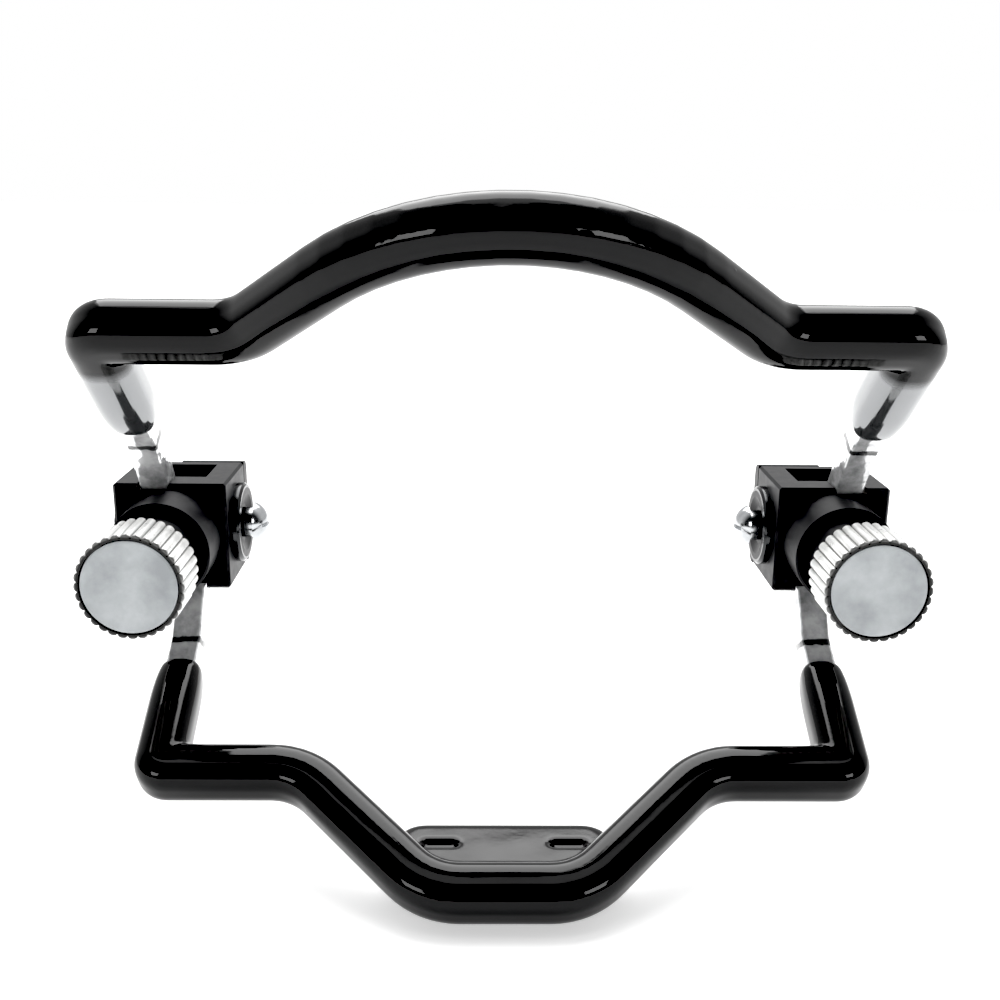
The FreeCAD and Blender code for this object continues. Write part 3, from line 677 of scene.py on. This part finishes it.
@dataclass
class Bow:
    """One coated bow with its bite plate. It is modelled as an upper bow and then stood in place."""

    level: Level
    arm_x: float
    leg: float
    leg_lean: float
    coat: float
    section_corner: float
    knee: tuple[float, float]
    crown: tuple[float, float, float]
    end_radius: float
    plate_width: float
    plate_rise: float
    bar_width: float = 4.1
    bar_thickness: float = 4.2
    rest_lean: float = 34.0
    elbow_distance: float = 18.5
    coat_start: float = 4.5
    nose_length: float = 7.0
    nose_edge: float = 0.3
    nose_steps: int = 8
    plate_thickness: float = 3.0
    plate_reach: float = 12.6
    plate_corner: float = 3.8
    plate_edge: float = 1.2
    plate_overlap: float = 0.5
    pick_room: float = 0.1
    dimple_offset: float = 8.3
    dimple_setback: float = 7.6
    dimple_half: float = 1.9
    dimple_depth: float = 0.75
    dimple_narrow: float = 0.35
    dimple_reach: float = 1.1
    face_room: float = 0.4
    grain: float = 0.28

    def elbow(self) -> Vector:
        """The bend of the arm, in metres."""
        lean = math.radians(self.rest_lean)
        return Vector((0.0, -math.sin(lean), math.cos(lean))) * self.elbow_distance * MM

    def leg_way(self) -> Vector:
        """The direction of the leg."""
        lean = math.radians(self.leg_lean)
        return Vector((0.0, -math.sin(lean), math.cos(lean)))

    def outline(self) -> tuple[list[tuple[Vector, float]], Vector]:
        """The path of the bow in its own plane.

        Returns:
            Its corners with their bend radii, and its end point over the far elbow, in metres.
        """
        knee_x, knee_radius = self.knee
        crown_x, crown_rise, crown_radius = self.crown
        half = [(self.arm_x, self.leg, self.end_radius), (knee_x, self.leg, knee_radius),
                (crown_x, self.leg + crown_rise, crown_radius)]
        mirrored = [(-x, z, radius) for x, z, radius in reversed(half) if x > 0]
        corners = [(Vector((x, 0.0, z)) * MM, radius * MM) for x, z, radius in half + mirrored]
        return corners, Vector((-self.arm_x, 0.0, self.coat_start + self.nose_length)) * MM

    def swell(self, share: float) -> float:
        """The width of the coated leg that far along its nose, as a share of the full width."""
        grown = self.nose_edge + (1 - self.nose_edge) * math.sqrt(1 - (1 - share) ** 2)
        return (self.bar_width + 2 * self.coat * grown) / (self.bar_width + 2 * self.coat)

    def bar(self) -> bpy.types.Object:
        """The coated bar from nose to nose, in the bow's own plane."""
        start = Vector((self.arm_x, 0.0, self.coat_start)) * MM
        Bench.clear()
        bpy.ops.mesh.primitive_plane_add(size=MM, location=start)
        Bench.settle()
        Bench.open()
        lip = self.swell(0.0)
        bpy.ops.transform.resize(value=((self.bar_width + 2 * self.coat) * lip,
                                        (self.bar_thickness + 2 * self.coat) * lip, 1.0),
                                 center_override=start)
        bpy.ops.mesh.bevel(offset=self.section_corner * lip * MM, segments=5, affect="VERTICES")
        pen = BarPen(start)
        step = self.nose_length * MM / self.nose_steps
        for index in range(self.nose_steps):
            pen.run(step, self.swell((index + 1) / self.nose_steps)
                    / self.swell(index / self.nose_steps))
        corners, end = self.outline()
        pen.follow(corners, end)
        for index in reversed(range(self.nose_steps)):
            pen.run(step, self.swell(index / self.nose_steps)
                    / self.swell((index + 1) / self.nose_steps))
        Bench.close()
        piece = bpy.context.object
        piece.rotation_euler = (math.radians(self.leg_lean), 0.0, 0.0)
        piece.location = self.elbow()
        return Bench.settle()

    def middle(self) -> Vector:
        """The middle of the bow's bar, at its highest point."""
        crown_x, crown_rise, crown_radius = self.crown
        height = self.leg + crown_rise
        if crown_x == 0:
            slope = math.atan2(crown_rise, self.knee[0])
            height -= crown_radius * (1 / math.cos(slope) - 1)
        return self.elbow() + self.leg_way() * height * MM

    def plate(self) -> bpy.types.Object:
        """The coated bite plate, which reaches back from the bow."""
        middle = self.middle()
        low = middle.z / MM - self.plate_rise - self.plate_thickness / 2
        Bench.clear()
        front = middle.y / MM + self.plate_overlap
        rear = middle.y / MM + self.plate_reach
        half = self.plate_width / 2
        bpy.ops.mesh.primitive_cube_add(
            size=1.0, location=(0.0, (front + rear) / 2 * MM, (low + self.plate_thickness / 2) * MM),
            scale=(2 * half * MM, (rear - front) * MM, self.plate_thickness * MM))
        Bench.settle()
        Bench.open()
        Bench.pick(Pick.EDGES, lambda at: at.y > (rear - self.pick_room) * MM and
                   abs(at.x) > (half - self.pick_room) * MM)
        bpy.ops.mesh.bevel(offset=self.plate_corner * MM, segments=8)
        Bench.pick(Pick.EDGES, lambda at: at.y > (front + self.pick_room) * MM and
                   abs(at.z / MM - low - self.plate_thickness / 2)
                   > (self.plate_thickness - self.pick_room) / 2)
        bpy.ops.mesh.bevel(offset=self.plate_edge * MM, segments=4)
        Bench.close()
        return bpy.context.object

    def press_dimples(self, piece: bpy.types.Object) -> None:
        """Presses the two long dimples into the biting face."""
        middle = self.middle()
        face = middle.z / MM - self.plate_rise - self.plate_thickness / 2
        at_y = middle.y / MM + self.dimple_setback
        Bench.take(piece)
        Bench.open()
        for side in (-1, 1):
            def inside(at: Vector) -> bool:
                """Whether a corner of the mesh is on the floor of this dimple."""
                along = abs(at.x / MM - side * self.dimple_offset)
                return (along < self.dimple_half and abs(at.y / MM - at_y) < self.dimple_narrow
                        and abs(at.z / MM - face) < self.face_room)

            Bench.pick(Pick.CORNERS, inside)
            bpy.ops.transform.translate(
                value=(0.0, 0.0, self.dimple_depth * MM), use_proportional_edit=True,
                use_proportional_connected=True, proportional_edit_falloff="SMOOTH",
                proportional_size=self.dimple_reach * MM)
        bpy.ops.object.mode_set(mode="OBJECT")

    def build(self, palette: Palette) -> bpy.types.Object:
        """Makes the coated bow and gives it its finish and its place.

        Args:
            palette: The finishes.

        Returns:
            The finished piece.
        """
        piece = Bench.join([self.bar(), self.plate()])
        piece.name = piece.data.name = f"{self.level.value}_bow_coating"
        Bench.finish(piece, "REMESH", mode="VOXEL", voxel_size=self.grain * MM)
        Bench.finish(piece, "SMOOTH", factor=0.5, iterations=6)
        self.press_dimples(piece)
        Bench.finish(piece, "SMOOTH", factor=0.5, iterations=3)
        if self.level is Level.LOWER:
            piece.scale = (1.0, 1.0, -1.0)
            Bench.settle()
            Bench.open()
            Bench.close()
        Bench.smooth(piece)
        palette.dress(piece, "black_coating")
        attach(piece, self.level.body)
        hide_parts(f"{self.level.value}_coating")
        return piece


# ---- arms --------------------------------------------------------------------------------------
@dataclass
class PlatedArm:
    """A plated arm from its hub in the housing to the butt joint inside the coating.

    It is modelled as an upper arm, leaning towards -X, and then turned to the front.
    """

    side: Side
    level: Level
    arm_x: float
    leg_lean: float
    bar_width: float = 4.1
    bar_thickness: float = 4.2
    bar_corner: float = 0.45
    rest_lean: float = 34.0
    elbow_distance: float = 18.5
    elbow_radius: float = 4.0
    splice_distance: float = 9.6
    hub_radius: float = 3.3
    bore_radius: float = 1.65
    spigot_radius: float = 2.7
    spigot_length: float = 1.7
    edge: float = 0.09
    edge_angle: float = 28.0
    smooth_angle: float = 30.0
    steps: int = 64

    def bar(self) -> bpy.types.Object:
        """The bar with its one sharp fold at the elbow."""
        pen = BarPen(HINGE.copy())
        turn = math.radians(self.leg_lean - self.rest_lean)
        Bench.clear()
        bpy.ops.mesh.primitive_plane_add(size=MM)
        Bench.open()
        bpy.ops.transform.resize(value=(self.bar_thickness, self.bar_width, 1.0))
        bpy.ops.mesh.bevel(offset=self.bar_corner * MM, segments=3, affect="VERTICES")
        before = self.elbow_radius * math.tan(turn / 2)
        pen.run((self.elbow_distance - before) * MM)
        pen.bend(turn, self.elbow_radius * MM, steps=2)
        pen.run((self.splice_distance - before) * MM)
        Bench.close()
        bpy.context.object.rotation_euler = (0.0, -math.radians(self.rest_lean), 0.0)
        return Bench.settle()

    def hub(self) -> bpy.types.Object:
        """The round hub and the round spigot that carries the crown gear."""
        way = self.side.sign * self.level.sign
        Bench.clear()
        bpy.ops.mesh.primitive_cylinder_add(vertices=self.steps, radius=self.hub_radius * MM,
                                            depth=self.bar_width * MM, rotation=(QUARTER, 0.0, 0.0))
        Bench.settle()
        Bench.open()
        Bench.pick(Pick.FACES, lambda at: at.y * -way > self.bar_width / 2 * MM - NEAR)
        shrink = self.spigot_radius / self.hub_radius
        Bench.push(Vector((0.0, 0.0, 0.0)), (shrink, 1.0, shrink))
        Bench.push(Vector((0.0, -way * self.spigot_length * MM, 0.0)))
        Bench.close()
        return bpy.context.object

    def cut(self, piece: bpy.types.Object, tool: bpy.types.Object, operation: str) -> None:
        """Joins or cuts a piece with a tool, which is used up."""
        Bench.finish(piece, "BOOLEAN", object=tool, operation=operation, solver="MANIFOLD")
        bpy.data.objects.remove(tool)

    def build(self, palette: Palette) -> bpy.types.Object:
        """Makes the arm and gives it its finish and its place.

        Args:
            palette: The finishes.

        Returns:
            The finished piece.
        """
        piece = self.bar()
        self.cut(piece, self.hub(), "UNION")
        Bench.clear()
        bpy.ops.mesh.primitive_cylinder_add(vertices=self.steps, radius=self.bore_radius * MM,
                                            depth=4 * self.bar_width * MM, rotation=(QUARTER, 0.0, 0.0))
        self.cut(piece, Bench.settle(), "DIFFERENCE")
        piece.name = piece.data.name = f"{self.side.value}_{self.level.value}_arm_plated"
        Bench.finish(piece, "BEVEL", width=self.edge * MM, segments=2, limit_method="ANGLE",
                     angle_limit=math.radians(self.edge_angle))
        piece.rotation_euler = (0.0, 0.0, QUARTER)
        piece.scale = (1.0, 1.0, self.level.sign)
        piece.location = (self.side.sign * self.arm_x * MM, 0.0, 0.0)
        Bench.take(piece)
        Bench.settle()
        Bench.open()
        Bench.close()
        Bench.smooth(piece, self.smooth_angle)
        palette.dress(piece, "chrome_bar")
        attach(piece, self.level.body)
        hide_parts(f"{self.side.value}_{self.level.value}_arm")
        return piece


# ---- knobs -------------------------------------------------------------------------------------
@dataclass
class FlutedKnob:
    """The fluted knob and the satin disc let into its front."""

    side: Side
    ribs: int = 32
    columns: int = 6
    rib_profile: tuple[float, ...] = (1.0, 0.996, 0.982, 0.945, 0.982, 0.996)
    bevel: float = 0.3
    recess_radius: float = 6.35
    recess_depth: float = 0.72
    back_steps: tuple[float, float] = (0.985, 0.96)
    front_steps: tuple[float, float] = (0.993, 0.98)
    face_edge: float = 0.1
    face_steps: int = 96
    face_rings: int = 5
    smooth_angle: float = 40.0
    face_gap: float = 0.16
    face_thickness: float = 0.62
    face_rim: float = 0.45
    face_dish: float = 0.12

    def size(self) -> tuple[Vector, float, float]:
        """Where the knob is.

        Returns:
            The middle of its back, its radius and its length, in metres.
        """
        low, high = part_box(self.side.node("knob"))
        middle = (low + high) / 2
        return Vector((middle.x, high.y, middle.z)), (high.x - low.x) / 2, high.y - low.y

    def shape_ribs(self, centre: Vector, test: Callable[[Vector], bool], undo: bool = False) -> None:
        """Draws the corners of each rib in towards the axis, or back out to a circle."""
        total = self.ribs * self.columns

        def column(at: Vector) -> int:
            """Which column of its rib a corner belongs to."""
            angle = math.atan2(at.z - centre.z, at.x - centre.x)
            return round(angle / (2 * math.pi) * total) % self.columns

        for index, share in enumerate(self.rib_profile):
            if share == 1.0:
                continue
            factor = 1 / share if undo else share
            Bench.pick(Pick.CORNERS, lambda at: test(at) and column(at) == index)
            bpy.ops.transform.resize(value=(factor, 1.0, factor), center_override=centre)

    def body(self) -> bpy.types.Object:
        """The fluted body with its recessed front."""
        back, radius, length = self.size()
        bevel = self.bevel * MM
        Bench.clear()
        bpy.ops.mesh.primitive_cylinder_add(
            vertices=self.ribs * self.columns, radius=radius, depth=length - 2 * bevel,
            location=back + Vector((0.0, -length / 2, 0.0)), rotation=(QUARTER, 0.0, 0.0))
        Bench.settle()
        Bench.open()
        self.shape_ribs(back, lambda at: True)
        front = back.y - length
        Bench.pick(Pick.FACES, lambda at: at.y > back.y - bevel - NEAR)
        for share in self.back_steps:
            Bench.push(Vector((0.0, bevel / 2, 0.0)), (share, 1.0, share), back)
        Bench.pick(Pick.FACES, lambda at: at.y < front + bevel + NEAR)
        for share in self.front_steps:
            Bench.push(Vector((0.0, -bevel / 2, 0.0)), (share, 1.0, share), back)
        flat = math.prod(self.front_steps) * radius
        rim = self.recess_radius * MM / flat
        Bench.push(Vector((0.0, 0.0, 0.0)), (rim, 1.0, rim), back)
        inner = self.recess_radius * MM * 1.01
        self.shape_ribs(back, lambda at: at.y < front + NEAR and
                        math.hypot(at.x - back.x, at.z - back.z) < inner, undo=True)
        Bench.pick(Pick.FACES, lambda at: at.y < front + NEAR and
                   math.hypot(at.x - back.x, at.z - back.z) < MID)
        Bench.push(Vector((0.0, self.recess_depth * MM, 0.0)))
        Bench.close()
        return bpy.context.object

    def face(self) -> bpy.types.Object:
        """The dished disc, a hair smaller than its recess."""
        back, _, length = self.size()
        radius = (self.recess_radius - self.face_gap) * MM
        floor = back.y - length + self.recess_depth * MM
        Bench.clear()
        bpy.ops.mesh.primitive_cylinder_add(
            vertices=self.face_steps, radius=radius, depth=self.face_thickness * MM,
            location=(back.x, floor - self.face_thickness / 2 * MM, back.z),
            rotation=(QUARTER, 0.0, 0.0))
        Bench.settle()
        Bench.open()
        front = floor - self.face_thickness * MM
        Bench.pick(Pick.EDGES, lambda at: at.y < front + NEAR)
        bpy.ops.mesh.bevel(offset=self.face_edge * MM, segments=2)
        Bench.pick(Pick.FACES, lambda at: at.y < front + NEAR and
                   math.hypot(at.x - back.x, at.z - back.z) < MID)
        rings = self.face_rings
        shrink = self.face_rim * MM
        for index in range(rings):
            bpy.ops.mesh.inset(thickness=shrink, depth=0.0)
            dish = self.face_dish * MM * (2 * (rings - index) - 1) / rings ** 2
            bpy.ops.transform.translate(value=(0.0, dish, 0.0))
            shrink = (self.recess_radius - self.face_rim) * MM / (rings + 1)
        Bench.close()
        return bpy.context.object

    def build(self, palette: Palette) -> list[bpy.types.Object]:
        """Makes the knob's two pieces and gives them their finishes and their places."""
        made = []
        for piece, name, slot in ((self.body(), "knob", "bright_knob"),
                                  (self.face(), "knob_face", "satin_face")):
            piece.name = piece.data.name = f"{self.side.value}_{name}_turned"
            Bench.smooth(piece, self.smooth_angle)
            palette.dress(piece, slot)
            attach(piece, f"{self.side.value}_knob_body")
            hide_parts(self.side.node(name))
            made.append(piece)
        return made


# ---- studio ------------------------------------------------------------------------------------
@dataclass
class Studio:
    """The pale floor, the soft lights and the camera."""

    eye: tuple[float, float, float] = (-3.49, -168.91, 50.88)
    yaw: float = 0.01842
    pitch: float = 0.27263
    roll: float = 0.01147
    lens: float = 42.17
    sensor: float = 36.0
    floor_gap: float = 0.05
    floor_size: float = 6.0
    room_light: tuple[tuple[float, float], ...] = ((0.0, 0.02), (0.34, 0.06), (0.50, 0.75), (0.60, 1.0))
    sun_tilt: float = -25.0
    sun_spread: float = 60.0
    sun_power: float = 1.1
    black: float = 0.035

    def floor(self) -> None:
        """A wide pale floor just under the lower bow."""
        low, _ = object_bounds()
        Bench.clear()
        bpy.ops.mesh.primitive_plane_add(size=self.floor_size,
                                         location=(0.0, 0.0, low.z - self.floor_gap * MM))
        ground = Bench.settle()
        ground.name = "floor"
        ground.data.materials.append(PaleFloor().make())
        ground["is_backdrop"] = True

    def room(self) -> None:
        """A white backdrop all round, and a room that is dark only behind the camera."""
        world = bpy.data.worlds.new("room")
        bpy.context.scene.world = world
        world.use_nodes = True
        nodes, links = world.node_tree.nodes, world.node_tree.links
        glow = nodes["Background"]
        way = nodes.new("ShaderNodeTexCoord")
        split = nodes.new("ShaderNodeSeparateXYZ")
        links.new(way.outputs["Generated"], split.inputs["Vector"])
        reach = nodes.new("ShaderNodeMapRange")
        reach.inputs["From Min"].default_value = -1.0
        reach.inputs["From Max"].default_value = 1.0
        links.new(split.outputs["Y"], reach.inputs["Value"])
        ramp = nodes.new("ShaderNodeValToRGB")
        while len(ramp.color_ramp.elements) < len(self.room_light):
            ramp.color_ramp.elements.new(0.5)
        for element, (position, value) in zip(ramp.color_ramp.elements, self.room_light):
            element.position = position
            element.color = (value, value, value, 1.0)
        links.new(reach.outputs["Result"], ramp.inputs["Fac"])
        backdrop = nodes.new("ShaderNodeMath")
        backdrop.operation = "MAXIMUM"
        links.new(ramp.outputs["Color"], backdrop.inputs[0])
        links.new(nodes.new("ShaderNodeLightPath").outputs["Is Camera Ray"], backdrop.inputs[1])
        links.new(backdrop.outputs["Value"], glow.inputs["Color"])

    def lamp(self, name: str, at: tuple[float, float, float], size: float, power: float) -> None:
        """A square softbox that looks at the object."""
        Bench.clear()
        place = Vector(at)
        turn = (-place).to_track_quat("-Z", "Y").to_euler()
        bpy.ops.object.light_add(type="AREA", location=place, rotation=turn)
        light = bpy.context.object
        light.name = name
        light.data.shape = "SQUARE"
        light.data.size = size
        light.data.energy = power

    def sun(self) -> None:
        """An even light from above and behind, as from a wide ceiling."""
        Bench.clear()
        bpy.ops.object.light_add(type="SUN", rotation=(math.radians(self.sun_tilt), 0.0, 0.0))
        light = bpy.context.object
        light.name = "ceiling"
        light.data.energy = self.sun_power
        light.data.angle = math.radians(self.sun_spread)

    def camera(self) -> None:
        """The camera, level with the lower edge of the upper bow and looking slightly down."""
        forward = Vector((math.sin(self.yaw) * math.cos(self.pitch),
                          math.cos(self.yaw) * math.cos(self.pitch), -math.sin(self.pitch)))
        level = Vector((math.cos(self.yaw), -math.sin(self.yaw), 0.0))
        upright = level.cross(forward)
        right = level * math.cos(self.roll) + upright * math.sin(self.roll)
        up = upright * math.cos(self.roll) - level * math.sin(self.roll)
        turn = Matrix((right, up, -forward)).transposed().to_euler()
        Bench.clear()
        bpy.ops.object.camera_add(location=Vector(self.eye) * MM, rotation=turn)
        eye = bpy.context.object
        eye.name = "camera"
        eye.data.lens = self.lens
        eye.data.sensor_width = self.sensor
        eye.data.clip_start = 1 * MM
        bpy.context.scene.camera = eye

    def build(self) -> None:
        """Sets up the floor, the room, the lights and the camera."""
        self.floor()
        self.room()
        self.lamp("overhead", (0.0, 0.8, 1.3), 1.6, 30.0)
        self.lamp("front_left", (-0.55, -0.75, 0.30), 0.30, 1.6)
        self.lamp("front_right", (0.55, -0.75, 0.30), 0.30, 1.6)
        self.sun()
        self.camera()
        view = bpy.context.scene.view_settings
        view.view_transform = "Standard"
        view.look = "None"
        view.use_curve_mapping = True
        view.curve_mapping.black_level = (self.black, self.black, self.black)
        view.curve_mapping.update()


def clear_stage() -> None:
    """Takes away whatever was in the scene before the frame."""
    kept = set(frame["nodes"].values()) | set(frame["bodies"].values())
    for thing in list(bpy.data.objects):
        if thing not in kept:
            bpy.data.objects.remove(thing)


def main() -> None:
    """Builds the object piece by piece, then the studio."""
    logging.basicConfig(level=logging.INFO, format="%(message)s")
    clear_stage()
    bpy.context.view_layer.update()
    low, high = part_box("right_knob")
    middle = (low + high) / 2
    palette = Palette(tuple(middle), low.y)
    palette.make()
    upper_knee, arch_slope = 32.2, math.tan(math.radians(44.0))
    bows = [
        Bow(Level.UPPER, arm_x=49.7, leg=24.5, leg_lean=46.8, coat=1.55, section_corner=2.8,
            knee=(upper_knee, 8.0), crown=(0.0, upper_knee * arch_slope, 30.5), end_radius=2.0,
            plate_width=22.6, plate_rise=1.0),
        Bow(Level.LOWER, arm_x=45.4, leg=21.5, leg_lean=61.0, coat=1.3, section_corner=2.5,
            knee=(26.6, 10.0), crown=(9.5, 16.9, 9.5), end_radius=1.2, plate_width=28.0, plate_rise=0.8),
    ]
    for bow in bows:
        piece = bow.build(palette)
        LOG.info("%s: %d faces", piece.name, len(piece.data.polygons))
    for side in Side:
        for bow in bows:
            piece = PlatedArm(side, bow.level, bow.arm_x, bow.leg_lean).build(palette)
            LOG.info("%s: %d faces", piece.name, len(piece.data.polygons))
        for piece in FlutedKnob(side).build(palette):
            LOG.info("%s: %d faces", piece.name, len(piece.data.polygons))
    for name in frame["nodes"]:
        palette.dress_node(name)
    LOG.info("dressed %d nodes", len(frame["nodes"]))
    Studio().build()


if __name__ == "__main__":
    main()
